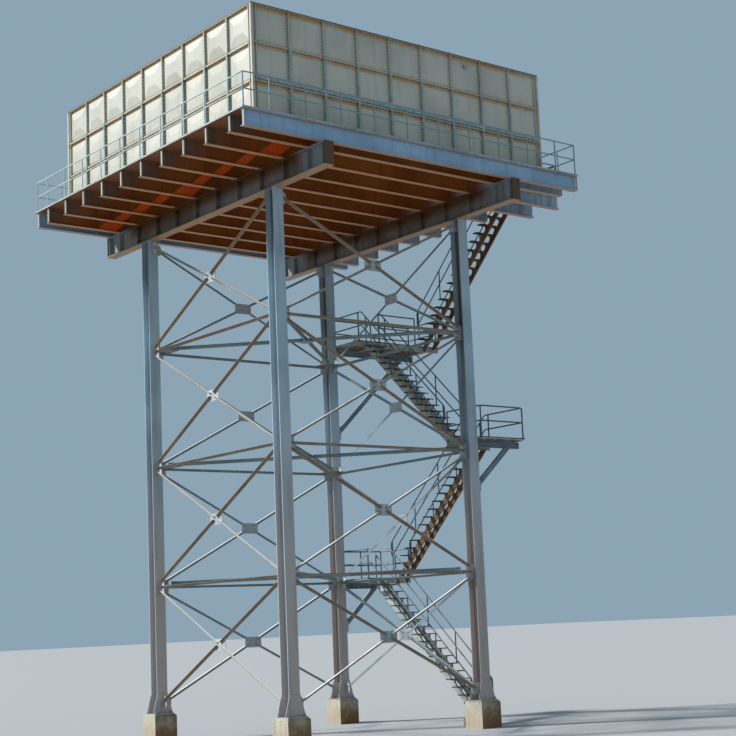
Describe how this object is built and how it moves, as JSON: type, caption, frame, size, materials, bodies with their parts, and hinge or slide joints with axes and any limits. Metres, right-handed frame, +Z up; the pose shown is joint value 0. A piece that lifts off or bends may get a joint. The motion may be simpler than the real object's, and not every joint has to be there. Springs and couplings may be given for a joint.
{
  "type": "water tower",
  "caption": "Square sectional steel water tank on a steel platform with a railed walkway, carried by a cross-braced square tower on concrete pedestals with an outside stair.",
  "frame": {"origin": "on the ground at the middle of the part's outline", "axes": "+Z up; +X towards the stair side; -Y towards the front, the wide face turned to the viewer"},
  "size_m": [13.87, 12.7, 21.1219],
  "materials": {
    "concrete": "rough cast concrete",
    "column_steel": "weathered grey paint",
    "beam_steel": "weathered grey paint with rust at the edges",
    "tank_paint": "chalky cream paint",
    "deck_steel": "dull grey paint",
    "rail_steel": "dull dark grey",
    "brace_steel": "weathered grey paint",
    "stair_steel": "weathered grey paint with rust"
  },
  "bodies": {
    "root": {"bracing_back": "brace_steel", "bracing_front": "brace_steel", "bracing_left": "brace_steel", "bracing_right": "brace_steel", "column_back_left": "column_steel", "column_back_right": "column_steel", "column_front_left": "column_steel", "column_front_right": "column_steel", "edge_beam_back": "beam_steel", "edge_beam_front": "beam_steel", "flight_1": "stair_steel", "flight_2": "stair_steel", "flight_3": "stair_steel", "flight_4": "stair_steel", "floor_beam_01": "beam_steel", "floor_beam_02": "beam_steel", "floor_beam_03": "beam_steel", "floor_beam_04": "beam_steel", "floor_beam_05": "beam_steel", "floor_beam_06": "beam_steel", "floor_beam_07": "beam_steel", "floor_beam_08": "beam_steel", "floor_beam_09": "beam_steel", "floor_beam_10": "beam_steel", "girder_left": "beam_steel", "girder_right": "beam_steel", "landing_1": "stair_steel", "landing_2": "stair_steel", "landing_3": "stair_steel", "landing_top": "stair_steel", "pedestal_back_left": "concrete", "pedestal_back_right": "concrete", "pedestal_front_left": "concrete", "pedestal_front_right": "concrete", "plan_brace_1": "brace_steel", "plan_brace_2": "brace_steel", "plan_brace_3": "brace_steel", "rail_back": "rail_steel", "rail_front": "rail_steel", "rail_left": "rail_steel", "rail_right_back": "rail_steel", "rail_right_front": "rail_steel", "roof_hatch": "tank_paint", "stair_footing": "concrete", "tank_floor": "beam_steel", "tank_roof": "tank_paint", "tank_wall_back": "tank_paint", "tank_wall_front": "tank_paint", "tank_wall_left": "tank_paint", "tank_wall_right": "tank_paint", "walkway_back": "deck_steel", "walkway_front": "deck_steel", "walkway_left": "deck_steel", "walkway_right": "deck_steel"}
  },
  "joints": []
}
